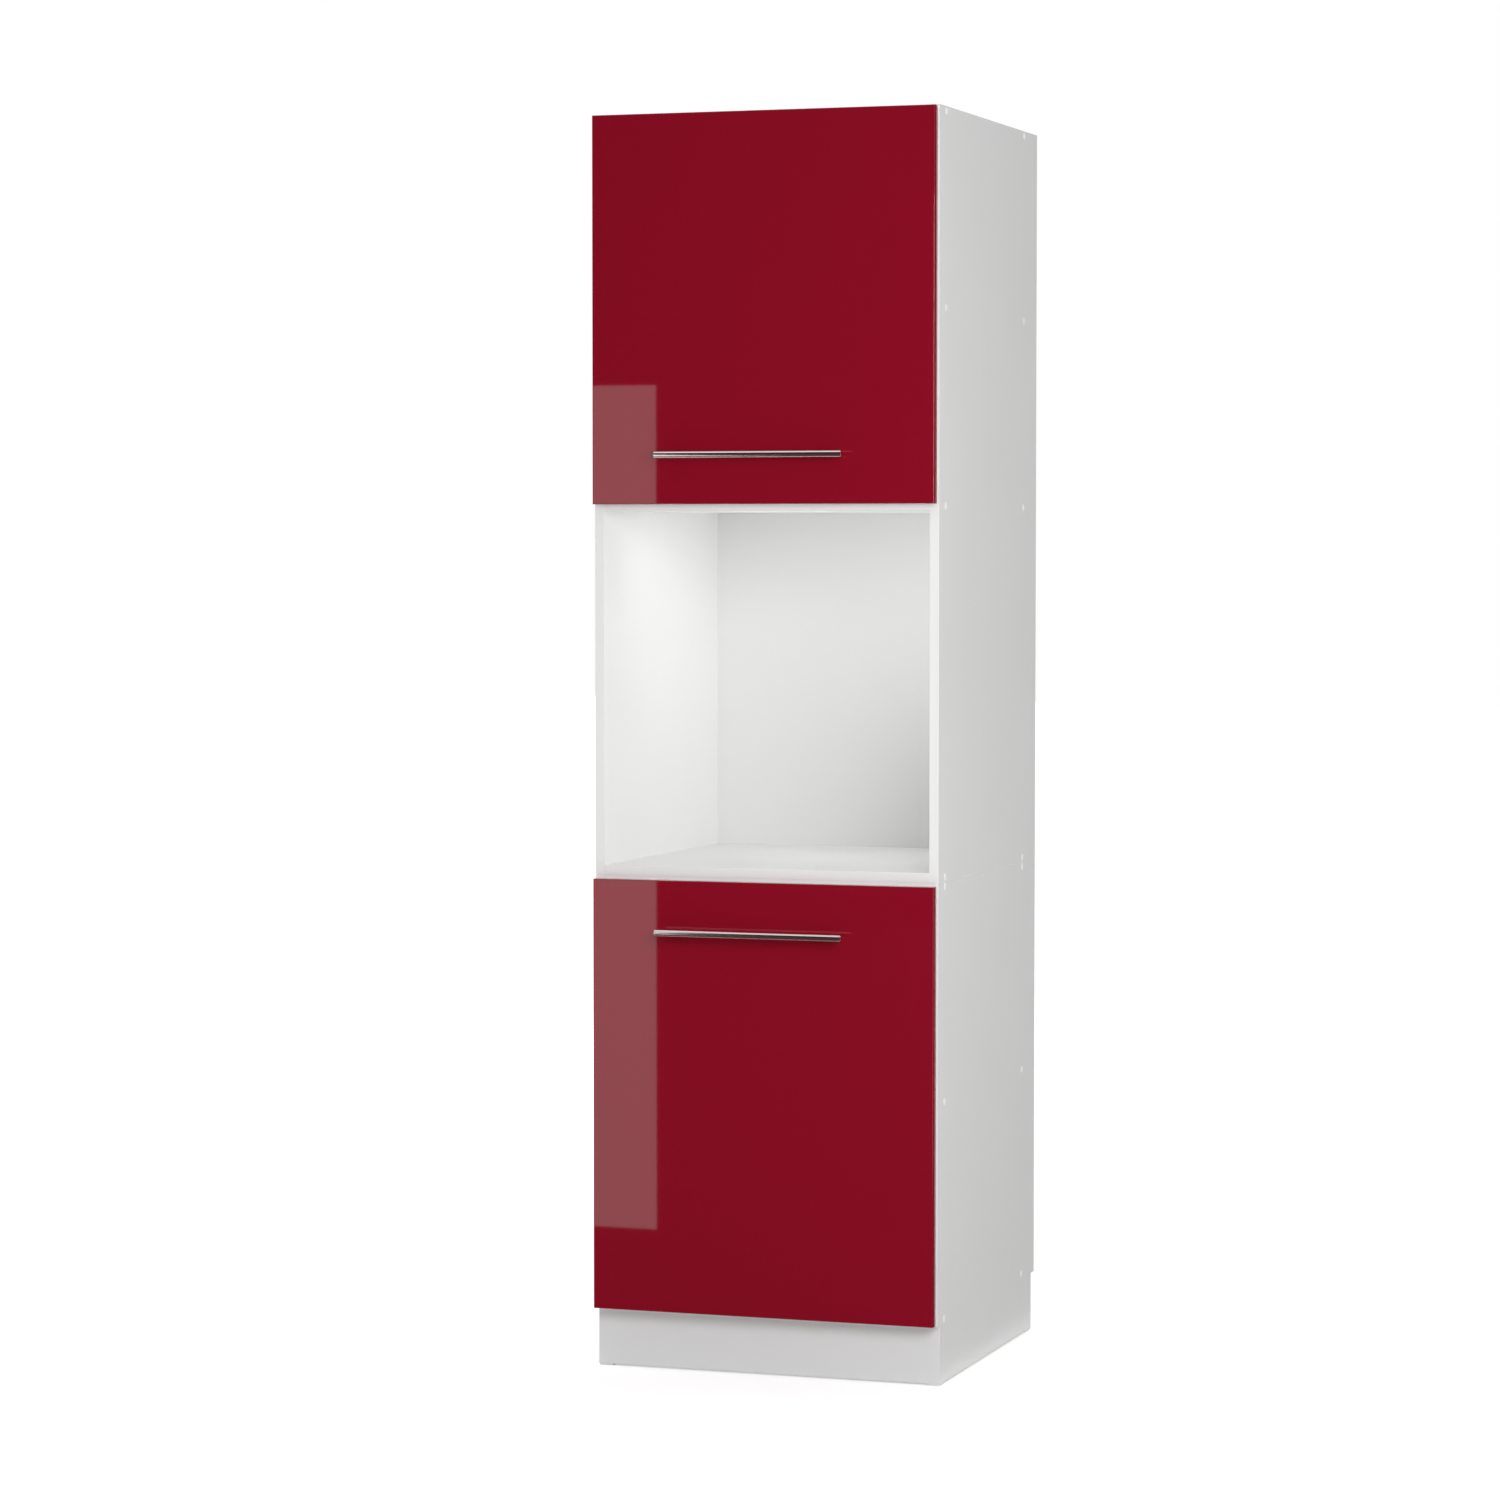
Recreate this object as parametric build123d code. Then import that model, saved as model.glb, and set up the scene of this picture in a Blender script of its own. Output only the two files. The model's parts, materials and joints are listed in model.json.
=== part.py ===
from build123d import *
from math import atan2, degrees, hypot
import os

# Overall cabinet, in millimetres, with the front of the carcass facing -Y
WIDTH = 600.0
HEIGHT = 2100.0
DEPTH = 600.0
BOARD_T = 16.0
BOARD_EASE = 0.5
JOINT_EASE = 0.6
SPLIT_Z = 832.0
BASE_H = 100.0

# Oven bay, and how far each shelf lies above the middle of its compartment
BAY_H = 593.0
UPPER_SHELF_RISE = 2.0
BASE_SHELF_RISE = 2.5

# Hardboard backs in grooves of the sides
BACK_T = 3.0
BACK_SETBACK = 20.0
GROOVE_DEPTH = 6.0
BACK_GAP = 0.2

# Plinth, skirting notch and foot glides
PLINTH_T = 16.0
PLINTH_SETBACK = 14.0
NOTCH_H = 100.0
NOTCH_D = 20.0
GLIDE_T = 3.0
GLIDE_W = 25.0
GLIDE_L = 32.0
GLIDE_R = 4.0
GLIDE_SHANK_R = 1.2
GLIDE_SHANK_L = 12.0
GLIDE_SHANK_IN = 4.8

# Doors, with the gaps and the strip of board edge that they leave showing
DOOR_T = 18.0
DOOR_GAP = 2.0
DOOR_SIDE_GAP = 3.0
DOOR_EDGE_R = 1.5
UPPER_DOOR_TOP_GAP = 2.0
CEILING_STRIP = 11.5
LOWER_DOOR_TOP_GAP = 5.5
LOWER_DOOR_BOTTOM_GAP = 2.0

# Bar handles
BAR_R = 6.0
BAR_L = 326.0
BAR_CHAMFER = 1.2
BAR_X = -14.0
BAR_STANDOFF = 30.0
POST_R = 5.0
POST_SPACING = 256.0
POST_SEAT = 2.0
UPPER_BAR_IN = 81.5
LOWER_BAR_IN = 85.5
HANDLE_SCREW_R = 2.0
HANDLE_SCREW_BITE = 12.0
HANDLE_HEAD_R = 4.0
HANDLE_HEAD_T = 1.6

# Door buffers, two small discs on the opening side of each door
BUFFER_R = 4.0
BUFFER_T = 1.6
BUFFER_INSET = 5.0
BUFFER_END = 30.0

# Carcass screws, their caps and the dowels
SCREW_FRONT = 38.0
SCREW_REAR_IN = 84.0
SCREW_R = 3.2
SCREW_L = 50.0
SCREW_HEAD_R = 5.0
SCREW_HEAD_H = 3.5
CAP_R = 6.0
CAP_T = 0.8
CAP_BEVEL = 0.48
DOWEL_R = 4.0
DOWEL_L = 30.0
DOWEL_IN_SIDE = 10.0

# Screws that hold the two halves together, driven up from below
UNIT_SCREW_SIDE_IN = 64.0
UNIT_SCREW_FRONT = 60.0
UNIT_SCREW_REAR_IN = 100.0
UNIT_SCREW_R = 2.0
UNIT_SCREW_L = 28.0
UNIT_HEAD_R = 4.5
UNIT_HEAD_H = 2.2

# Pivots of the concealed hinge, measured from the door's edge and from its back face
HINGE_END = 100.0
ARM_PIVOT_EDGE = 27.8
ARM_PIVOT_BEHIND = 10.8
GUIDE_PIVOT_EDGE = 31.0
GUIDE_PIVOT_BEHIND = 17.0
CUP_PIVOT_EDGE = 8.9
CUP_PIVOT_DEEP = 3.2
CUP_GUIDE_EDGE = 9.9
CUP_GUIDE_DEEP = 8.8
GUIDE_SLOT = 3.2
GUIDE_PLAY = 0.5
PIVOT_PLAY = 0.06
ARM_PIN_R = 1.5
CUP_PIN_R = 1.25

# Hinge cup
CUP_TAB = 3.0
CUP_R = 17.5
CUP_WALL = 1.0
CUP_DEPTH = 13.0
CUP_FLOOR = 0.7
CUP_LIP_R = 18.3
CUP_LIP_T = 0.5
FLANGE_T = 1.2
FLANGE_W = 14.0
FLANGE_H = 62.0
FLANGE_OFFSET = 6.0
FLANGE_ROUND = 6.5
BOSS_BEHIND = 4.0
BOSS_SINK = 0.6
CUP_SCREW_SPACING = 48.0
CUP_SCREW_R = 1.75
CUP_SCREW_L = 13.0
CUP_HEAD_R = 3.4
CUP_HEAD_H = 1.8

# Hinge arm and mounting plate
CHEEK_IN = 6.4
CHEEK_OUT = 8.0
WEB_T = 1.5
ARM_HIGH_EDGE = 39.5
ARM_LOW_EDGE = 29.0
ARM_FOOT = 5.0
ARM_NOSE = 4.0
ARM_CHEEK_TIP = 4.0
ARM_CHEEK_BACK = 5.0
ARM_FOOT_START = 22.0
ARM_HOLLOW = 8.0
ARM_BEND_0 = 25.0
ARM_BEND_1 = 32.0
ARM_END = 62.0
PLATE_SETBACK = 37.0
PLATE_PITCH = 32.0
PLATE_WING_T = 2.5
PLATE_WING_W = 11.0
PLATE_WING_H = 46.0
PLATE_WING_ROUND = 5.0
PLATE_BOSS_Y0 = 27.0
PLATE_BOSS_HALF = 6.0
PLATE_BOSS_END_IN = 1.0
PLATE_SCREW_R = 2.5
PLATE_SCREW_L = 12.0
PLATE_HEAD_R = 4.2
PLATE_HEAD_H = 2.0
CLAMP_SCREW_Y = 53.0
ADJUST_SCREW_Y = 38.0
CLAMP_SCREW_R = 2.5
CLAMP_HEAD_R = 4.5
CLAMP_HEAD_H = 2.2
ADJUST_HEAD_R = 3.0
ADJUST_HEAD_H = 1.0
CLAMP_BITE = 9.0

# Hinge links, with the bends of their paths measured back from the cup's pivots
LINK_BEND_1_BACK = 5.6
LINK_BEND_1_DEEP = 2.9
LINK_BEND_2_BACK = 10.9
LINK_BEND_2_OUT = 3.4
GUIDE_BEND_1_BACK = 11.6
GUIDE_BEND_1_DEEP = 0.4
GUIDE_BEND_2_BACK = 14.1
GUIDE_BEND_2_OUT = 7.9
LINK_IN = 4.0
LINK_T = 1.6
LINK_W = 4.4
LINK_EYE_A = 3.1
LINK_EYE_B = 2.6
GUIDE_HALF = 3.4
GUIDE_W = 3.8
GUIDE_EYE_B = 2.35
GUIDE_WALL = 1.4
PIN_HEAD_OUT = 0.6
PIN_END_OUT = 0.1
BOSS_LINK_GAP = 0.2

# How far a cutting solid runs past the face that it opens
CUT = 1.0

# Derived positions shared by several pieces
SIDE_IN = WIDTH / 2 - BOARD_T
SCREW_REAR = DEPTH - SCREW_REAR_IN
BACK_Y = DEPTH - BACK_SETBACK - BACK_T
BAY_FLOOR_TOP = SPLIT_Z + BOARD_T
BAY_CEILING = BAY_FLOOR_TOP + BAY_H
DOOR_BACK = -DOOR_GAP
DOOR_FRONT = DOOR_BACK - DOOR_T
DOOR_EDGE = WIDTH / 2 - DOOR_SIDE_GAP
BAR_Y = DOOR_FRONT - BAR_STANDOFF
UPPER_DOOR_Z0 = BAY_CEILING + CEILING_STRIP
UPPER_DOOR_Z1 = HEIGHT - UPPER_DOOR_TOP_GAP
LOWER_DOOR_Z0 = BASE_H + LOWER_DOOR_BOTTOM_GAP
LOWER_DOOR_Z1 = SPLIT_Z - LOWER_DOOR_TOP_GAP
ARM_PIVOT = (DOOR_EDGE - ARM_PIVOT_EDGE, DOOR_BACK + ARM_PIVOT_BEHIND)
GUIDE_PIVOT = (DOOR_EDGE - GUIDE_PIVOT_EDGE, DOOR_BACK + GUIDE_PIVOT_BEHIND)
CUP_PIVOT = (DOOR_EDGE - CUP_PIVOT_EDGE, DOOR_BACK - CUP_PIVOT_DEEP)
CUP_GUIDE = (DOOR_EDGE - CUP_GUIDE_EDGE, DOOR_BACK - CUP_GUIDE_DEEP)
CUP_X = DOOR_EDGE - CUP_TAB - CUP_R
ARM_WEB_HIGH = DOOR_EDGE - ARM_HIGH_EDGE
ARM_WEB_LOW = DOOR_EDGE - ARM_LOW_EDGE

# Heights of the fixed boards' centres and of the hinges
BOARD_Z = {
    "top_panel": HEIGHT - BOARD_T / 2,
    "upper_shelf": (BAY_CEILING + HEIGHT) / 2 + UPPER_SHELF_RISE,
    "bay_ceiling": BAY_CEILING + BOARD_T / 2,
    "bay_floor": SPLIT_Z + BOARD_T / 2,
    "base_top": SPLIT_Z - BOARD_T / 2,
    "base_shelf": (BASE_H + SPLIT_Z) / 2 + BASE_SHELF_RISE,
    "bottom_panel": BASE_H + BOARD_T / 2,
}
HINGE_Z = {
    "upper_door_low": UPPER_DOOR_Z0 + HINGE_END,
    "upper_door_high": UPPER_DOOR_Z1 - HINGE_END,
    "lower_door_low": LOWER_DOOR_Z0 + HINGE_END,
    "lower_door_high": LOWER_DOOR_Z1 - HINGE_END,
}

# The frame's origin is the middle of the bounding box, on the floor
ORIGIN_Y = (DEPTH + BAR_Y - BAR_R) / 2


def block(x0, x1, y0, y1, z0, z1):
    box = Box(x1 - x0, y1 - y0, z1 - z0)
    return box.moved(Location(((x0 + x1) / 2, (y0 + y1) / 2, (z0 + z1) / 2)))


def rod_x(x0, x1, y, z, r):
    rod = Cylinder(r, abs(x1 - x0), rotation=(0, 90, 0))
    return rod.moved(Location(((x0 + x1) / 2, y, z)))


def rod_y(x, y0, y1, z, r):
    rod = Cylinder(r, abs(y1 - y0), rotation=(90, 0, 0))
    return rod.moved(Location((x, (y0 + y1) / 2, z)))


def rod_z(x, y, z0, z1, r):
    return Cylinder(r, abs(z1 - z0)).moved(Location((x, y, (z0 + z1) / 2)))


def plan_solid(points, z0, z1):
    face = make_face(Polyline(*points, close=True))
    return extrude(face, z1 - z0).moved(Location((0, 0, z0)))


def strap(points, width, z0, z1):
    body = None
    for (ax, ay), (bx, by) in zip(points, points[1:]):
        run = hypot(bx - ax, by - ay)
        slot = SlotCenterToCenter(run, width, rotation=degrees(atan2(by - ay, bx - ax)))
        span = slot.moved(Location(((ax + bx) / 2, (ay + by) / 2, 0)))
        body = span if body is None else body + span
    return extrude(body, z1 - z0).moved(Location((0, 0, z0)))


def eased(body, radius, axis=Axis.Y, low=True):
    faces = body.faces().sort_by(axis)
    face = faces[0] if low else faces[-1]
    return fillet(face.edges(), radius)


def at_height(body, z):
    return body.moved(Location((0, 0, z)))


def save(name, *solids):
    shift = Location((0, -ORIGIN_Y, 0))
    moved = [s.moved(shift) for s in solids]
    flat = [piece for body in moved for piece in body.solids()]
    shape = flat[0] if len(flat) == 1 else Compound(children=flat)
    export_step(shape, f"parts/{name}.step")


# Carcass screws: a countersunk head, a shank and a recess of the same shape
def carcass_screw(side, y, z):
    outer = side * (WIDTH / 2)
    shank = rod_x(outer, outer - side * SCREW_L, y, z, SCREW_R)
    head = Cone(SCREW_HEAD_R, SCREW_R, SCREW_HEAD_H, rotation=(0, -90 * side, 0))
    return shank + head.moved(Location((outer - side * SCREW_HEAD_H / 2, y, z)))


def screw_places(z_low, z_high):
    rows = [z for z in BOARD_Z.values() if z_low < z < z_high]
    return [(y, z) for z in rows for y in (SCREW_FRONT, SCREW_REAR)]


def cap(side, y, z):
    outer = side * (WIDTH / 2)
    disc = rod_x(outer, outer + side * CAP_T, y, z, CAP_R)
    rim = disc.edges().group_by(Axis.X)[-1 if side > 0 else 0]
    return chamfer(rim, CAP_BEVEL)


def dowel(side, z):
    inner = side * SIDE_IN
    y = (SCREW_FRONT + SCREW_REAR) / 2
    return rod_x(inner + side * DOWEL_IN_SIDE, inner - side * (DOWEL_L - DOWEL_IN_SIDE), y, z, DOWEL_R)


# Side panels in two heights; where they meet, a small chamfer on each outer edge leaves a fine groove
def side_panel(side, z0, z1):
    x0, x1 = sorted((side * SIDE_IN, side * WIDTH / 2))
    panel = block(x0, x1, 0, DEPTH, z0, z1)
    long_edges = panel.edges().filter_by(Axis.Y).group_by(Axis.Z)[0 if z0 == SPLIT_Z else -1]
    panel = chamfer(long_edges.sort_by(Axis.X)[-1 if side > 0 else 0], JOINT_EASE)
    panel = eased(panel, BOARD_EASE)
    g0, g1 = sorted((side * SIDE_IN, side * (SIDE_IN + GROOVE_DEPTH)))
    panel -= block(g0, g1, BACK_Y, BACK_Y + BACK_T + BACK_GAP, z0 - CUT, z1 + CUT)
    if z0 < BASE_H:
        toe = PLINTH_SETBACK + PLINTH_T
        panel -= block(x0 - CUT, x1 + CUT, -CUT, toe, z0 - CUT, BASE_H)
        panel -= block(x0 - CUT, x1 + CUT, DEPTH - NOTCH_D, DEPTH + CUT, z0 - CUT, NOTCH_H)
        for y in glide_rows():
            panel -= glide_pin(side, y)
    for y, z in screw_places(z0, z1):
        panel -= carcass_screw(side, y, z)
    for z in [z for z in BOARD_Z.values() if z0 < z < z1]:
        panel -= dowel(side, z)
    if side > 0:
        for z in [z for z in HINGE_Z.values() if z0 < z < z1]:
            for body in plate_screws(z):
                panel -= body
    return panel


def fixed_board(name):
    z = BOARD_Z[name]
    board = block(-SIDE_IN, SIDE_IN, 0, BACK_Y, z - BOARD_T / 2, z + BOARD_T / 2)
    board = eased(board, BOARD_EASE)
    for side in (-1, 1):
        board -= dowel(side, z)
        for y in (SCREW_FRONT, SCREW_REAR):
            board -= carcass_screw(side, y, z)
    if name in ("bay_floor", "base_top"):
        for body in unit_screws():
            board -= body
    return board


def back_sheet(z0, z1):
    half = SIDE_IN + GROOVE_DEPTH - BACK_GAP
    return block(-half, half, BACK_Y, BACK_Y + BACK_T, z0 + BACK_GAP, z1 - BACK_GAP)


def unit_screw(x, y):
    z0 = SPLIT_Z - BOARD_T
    body = rod_z(x, y, z0, z0 + UNIT_SCREW_L, UNIT_SCREW_R)
    head = Cone(UNIT_HEAD_R, UNIT_SCREW_R, UNIT_HEAD_H)
    return body + head.moved(Location((x, y, z0 + UNIT_HEAD_H / 2)))


def unit_screws():
    out = SIDE_IN - UNIT_SCREW_SIDE_IN
    rows = (UNIT_SCREW_FRONT, DEPTH - UNIT_SCREW_REAR_IN)
    return [unit_screw(x, y) for x in (-out, out) for y in rows]


# Plinth board and the nailed glides under the sides
def plinth_board():
    y0 = PLINTH_SETBACK
    board = block(-WIDTH / 2, WIDTH / 2, y0, y0 + PLINTH_T, GLIDE_T, BASE_H)
    return eased(board, BOARD_EASE)


def glide_rows():
    front = PLINTH_SETBACK + GLIDE_L / 2
    rear = DEPTH - NOTCH_D - GLIDE_L / 2
    return (front, rear)


def glide_pin(side, y):
    x = side * (WIDTH / 2 - BOARD_T / 2)
    row = max(y, PLINTH_SETBACK + PLINTH_T + GLIDE_SHANK_IN)
    return rod_z(x, row, GLIDE_T, GLIDE_T + GLIDE_SHANK_L, GLIDE_SHANK_R)


def glide(side, y):
    x0, x1 = sorted((side * WIDTH / 2, side * (WIDTH / 2 - GLIDE_W)))
    pad = block(x0, x1, y - GLIDE_L / 2, y + GLIDE_L / 2, 0, GLIDE_T)
    pad = fillet(pad.edges().filter_by(Axis.Z), GLIDE_R)
    return pad + glide_pin(side, y)


# Doors and bar handles
def door_panel(z0, z1, bar_z, hinges):
    panel = block(-DOOR_EDGE, DOOR_EDGE, DOOR_FRONT, DOOR_BACK, z0, z1)
    panel = eased(panel, DOOR_EDGE_R)
    for z in hinges:
        panel -= rod_y(CUP_X, DOOR_BACK - CUP_DEPTH, DOOR_BACK + CUT, z, CUP_R)
        for body in cup_screws(z):
            panel -= body
    for body in handle_screws(bar_z):
        panel -= body
    return panel


def post_places():
    return (BAR_X - POST_SPACING / 2, BAR_X + POST_SPACING / 2)


def handle_bar(z):
    bar = rod_x(BAR_X - BAR_L / 2, BAR_X + BAR_L / 2, BAR_Y, z, BAR_R)
    bar = chamfer(bar.edges(), BAR_CHAMFER)
    for post in handle_posts(z):
        bar -= post
    return bar


def handle_posts(z):
    posts = []
    for x in post_places():
        post = rod_y(x, DOOR_FRONT, BAR_Y + BAR_R - POST_SEAT, z, POST_R)
        posts.append(post - handle_screw(x, z))
    return posts


def handle_screw(x, z):
    tip = DOOR_FRONT - HANDLE_SCREW_BITE
    shank = rod_y(x, tip, DOOR_BACK, z, HANDLE_SCREW_R)
    return shank + rod_y(x, DOOR_BACK, DOOR_BACK + HANDLE_HEAD_T, z, HANDLE_HEAD_R)


def handle_screws(z):
    return [handle_screw(x, z) for x in post_places()]


def buffers(z0, z1):
    x = -DOOR_EDGE + BUFFER_INSET
    rows = (z0 + BUFFER_END, z1 - BUFFER_END)
    return [rod_y(x, DOOR_BACK, DOOR_BACK + BUFFER_T, z, BUFFER_R) for z in rows]


# Hinge cup: a drawn shell with lip, screw wings and pin bosses
def cup_screws(z):
    x = CUP_X - FLANGE_OFFSET
    top = DOOR_BACK + FLANGE_T
    screws = []
    for dz in (-CUP_SCREW_SPACING / 2, CUP_SCREW_SPACING / 2):
        shank = rod_y(x, top - CUP_SCREW_L, top, z + dz, CUP_SCREW_R)
        head = Cone(CUP_HEAD_R, CUP_SCREW_R, CUP_HEAD_H, rotation=(90, 0, 0))
        screws.append(shank + head.moved(Location((x, top - CUP_HEAD_H / 2, z + dz))))
    return screws


def pins_of_cup(z):
    reach = CHEEK_OUT + PIN_HEAD_OUT
    pins = [rod_z(*CUP_GUIDE, z - reach, z + reach, CUP_PIN_R)]
    for s in (-1, 1):
        pins.append(rod_z(*CUP_PIVOT, z + s * (LINK_IN - PIN_END_OUT), z + s * reach, CUP_PIN_R))
    return pins


def hinge_cup(z):
    floor = DOOR_BACK - CUP_DEPTH
    inner_r = CUP_R - CUP_WALL
    shell = rod_y(CUP_X, floor, DOOR_BACK, z, CUP_R)
    shell += rod_y(CUP_X, DOOR_BACK, DOOR_BACK + CUP_LIP_T, z, CUP_LIP_R)
    wing = block(-FLANGE_W / 2, FLANGE_W / 2, DOOR_BACK, DOOR_BACK + FLANGE_T, -FLANGE_H / 2, FLANGE_H / 2)
    wing = fillet(wing.edges().filter_by(Axis.Y), FLANGE_ROUND)
    shell += wing.moved(Location((CUP_X - FLANGE_OFFSET, 0, z)))
    hollow = rod_y(CUP_X, floor + CUP_FLOOR, DOOR_BACK + FLANGE_T + CUT, z, inner_r)
    boss_x = CUP_PIVOT[0] - BOSS_BEHIND
    boss_z = CHEEK_IN - BOSS_LINK_GAP
    keep = block(boss_x, DOOR_EDGE, floor, DOOR_BACK - BOSS_SINK, boss_z, CUP_R)
    bosses = at_height(keep, z) + at_height(keep.mirror(Plane.XY), z)
    shell -= hollow - bosses
    for body in pins_of_cup(z) + cup_screws(z):
        shell -= body
    return shell


# Hinge arm: a folded channel that straddles the mounting plate's boss
def arm_profile(shift=0.0, over=0.0):
    web_high = ARM_WEB_HIGH + shift
    web_low = ARM_WEB_LOW + shift
    foot = SIDE_IN - ARM_FOOT + over
    nose = ARM_PIVOT[1] - ARM_NOSE - over
    end = ARM_END + over
    return [
        (web_high, nose),
        (web_high, ARM_BEND_0),
        (web_low, ARM_BEND_1),
        (web_low, end),
        (foot, end),
        (foot, ARM_FOOT_START),
        (ARM_PIVOT[0] + ARM_CHEEK_BACK + over, ARM_PIVOT[1] + ARM_CHEEK_TIP),
        (ARM_PIVOT[0] + ARM_CHEEK_TIP + over, nose),
    ]


def pins_of_arm(z):
    reach = CHEEK_OUT + PIN_HEAD_OUT
    pins = [rod_z(*GUIDE_PIVOT, z - reach, z + reach, ARM_PIN_R)]
    for s in (-1, 1):
        pins.append(rod_z(*ARM_PIVOT, z + s * (LINK_IN - PIN_END_OUT), z + s * reach, ARM_PIN_R))
    return pins


def hinge_arm(z):
    arm = plan_solid(arm_profile(), -CHEEK_OUT, CHEEK_OUT)
    arm -= plan_solid(arm_profile(WEB_T, ARM_HOLLOW), -CHEEK_IN, CHEEK_IN)
    arm = at_height(arm, z)
    for body in pins_of_arm(z) + arm_screws(z):
        arm -= body
    return arm


def arm_screws(z):
    web = ARM_WEB_LOW
    clamp = rod_x(web, web + CLAMP_BITE, CLAMP_SCREW_Y, z, CLAMP_SCREW_R)
    clamp += rod_x(web - CLAMP_HEAD_H, web, CLAMP_SCREW_Y, z, CLAMP_HEAD_R)
    adjust = rod_x(web, web + CLAMP_BITE, ADJUST_SCREW_Y, z, CLAMP_SCREW_R)
    adjust += rod_x(web - ADJUST_HEAD_H, web, ADJUST_SCREW_Y, z, ADJUST_HEAD_R)
    return [clamp, adjust]


def plate_screws(z):
    face = SIDE_IN - PLATE_WING_T
    screws = []
    for dz in (-PLATE_PITCH / 2, PLATE_PITCH / 2):
        shank = rod_x(face, face + PLATE_SCREW_L, PLATE_SETBACK, z + dz, PLATE_SCREW_R)
        screws.append(shank + rod_x(face - PLATE_HEAD_H, face, PLATE_SETBACK, z + dz, PLATE_HEAD_R))
    return screws


def hinge_plate(z):
    half_w, half_h = PLATE_WING_W / 2, PLATE_WING_H / 2
    wing = block(SIDE_IN - PLATE_WING_T, SIDE_IN, -half_w, half_w, -half_h, half_h)
    wing = fillet(wing.edges().filter_by(Axis.X), PLATE_WING_ROUND)
    plate = wing.moved(Location((0, PLATE_SETBACK, z)))
    top = ARM_WEB_LOW + WEB_T
    y0 = max(PLATE_BOSS_Y0, ARM_BEND_1)
    half = PLATE_BOSS_HALF
    plate += block(top, SIDE_IN, y0, ARM_END - PLATE_BOSS_END_IN, z - half, z + half)
    for body in plate_screws(z) + arm_screws(z):
        plate -= body
    return plate


# Links: two curved plates carry the door, a slotted hook between them guides it
def link_path():
    bx, by = CUP_PIVOT
    first = (bx - LINK_BEND_1_BACK, by - LINK_BEND_1_DEEP)
    second = (bx - LINK_BEND_2_BACK, by + LINK_BEND_2_OUT)
    return [CUP_PIVOT, first, second, ARM_PIVOT]


def link_plates(z):
    plates = []
    for low in (-LINK_IN - LINK_T, LINK_IN):
        body = strap(link_path(), LINK_W, low, low + LINK_T)
        body += rod_z(*ARM_PIVOT, low, low + LINK_T, LINK_EYE_A)
        body += rod_z(*CUP_PIVOT, low, low + LINK_T, LINK_EYE_B)
        body -= rod_z(*ARM_PIVOT, low - CUT, low + LINK_T + CUT, ARM_PIN_R + PIVOT_PLAY)
        body -= rod_z(*CUP_PIVOT, low - CUT, low + LINK_T + CUT, CUP_PIN_R + PIVOT_PLAY)
        plates.append(at_height(body, z))
    return plates


def guide_path():
    bx, by = CUP_GUIDE
    first = (bx - GUIDE_BEND_1_BACK, by - GUIDE_BEND_1_DEEP)
    second = (bx - GUIDE_BEND_2_BACK, by + GUIDE_BEND_2_OUT)
    return [CUP_GUIDE, first, second, GUIDE_PIVOT]


def guide_link(z):
    ax, ay = GUIDE_PIVOT
    bx, by = CUP_GUIDE
    run = hypot(ax - bx, ay - by)
    ux, uy = (ax - bx) / run, (ay - by) / run
    slot_end = (ax + ux * GUIDE_SLOT, ay + uy * GUIDE_SLOT)
    slot_w = 2 * (ARM_PIN_R + GUIDE_PLAY)
    body = strap(guide_path(), GUIDE_W, -GUIDE_HALF, GUIDE_HALF)
    eye_w = slot_w + 2 * GUIDE_WALL
    body += strap([(ax, ay), slot_end], eye_w, -GUIDE_HALF, GUIDE_HALF)
    body += rod_z(bx, by, -GUIDE_HALF, GUIDE_HALF, GUIDE_EYE_B)
    body -= strap([(ax, ay), slot_end], slot_w, -GUIDE_HALF - CUT, GUIDE_HALF + CUT)
    body -= rod_z(bx, by, -GUIDE_HALF - CUT, GUIDE_HALF + CUT, CUP_PIN_R + PIVOT_PLAY)
    return at_height(body, z)


# Build and save every piece
os.makedirs("parts", exist_ok=True)

for label, side in (("left", -1), ("right", 1)):
    save(f"{label}_side_lower", side_panel(side, GLIDE_T, SPLIT_Z))
    save(f"{label}_side_upper", side_panel(side, SPLIT_Z, HEIGHT))

for board_name in BOARD_Z:
    save(board_name, fixed_board(board_name))

save("back_upper", back_sheet(SPLIT_Z, HEIGHT))
save("back_lower", back_sheet(BASE_H, SPLIT_Z))
save("plinth", plinth_board())
save("foot_glides", *[glide(s, y) for s in (-1, 1) for y in glide_rows()])
save("unit_screws", *unit_screws())

all_places = screw_places(0, HEIGHT)
save("carcass_screws", *[carcass_screw(s, y, z) for s in (-1, 1) for y, z in all_places])
save("cover_caps", *[cap(s, y, z) for s in (-1, 1) for y, z in all_places])
save("dowels", *[dowel(s, z) for s in (-1, 1) for z in BOARD_Z.values()])

DOORS = {
    "upper": (UPPER_DOOR_Z0, UPPER_DOOR_Z1, UPPER_DOOR_Z0 + UPPER_BAR_IN),
    "lower": (LOWER_DOOR_Z0, LOWER_DOOR_Z1, LOWER_DOOR_Z1 - LOWER_BAR_IN),
}

for door, (low_z, high_z, grip_z) in DOORS.items():
    rows = [z for name, z in HINGE_Z.items() if name.startswith(door)]
    save(f"{door}_door_panel", door_panel(low_z, high_z, grip_z, rows))
    save(f"{door}_handle_bar", handle_bar(grip_z))
    save(f"{door}_handle_posts", *handle_posts(grip_z))
    save(f"{door}_handle_screws", *handle_screws(grip_z))
    save(f"{door}_door_buffers", *buffers(low_z, high_z))
    save(f"{door}_cup_screws", *[b for z in rows for b in cup_screws(z)])
    save(f"{door}_cup_pins", *[b for z in rows for b in pins_of_cup(z)])
    save(f"{door}_arm_pins", *[b for z in rows for b in pins_of_arm(z)])
    save(f"{door}_arm_screws", *[b for z in rows for b in arm_screws(z)])
    save(f"{door}_plate_screws", *[b for z in rows for b in plate_screws(z)])

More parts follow.
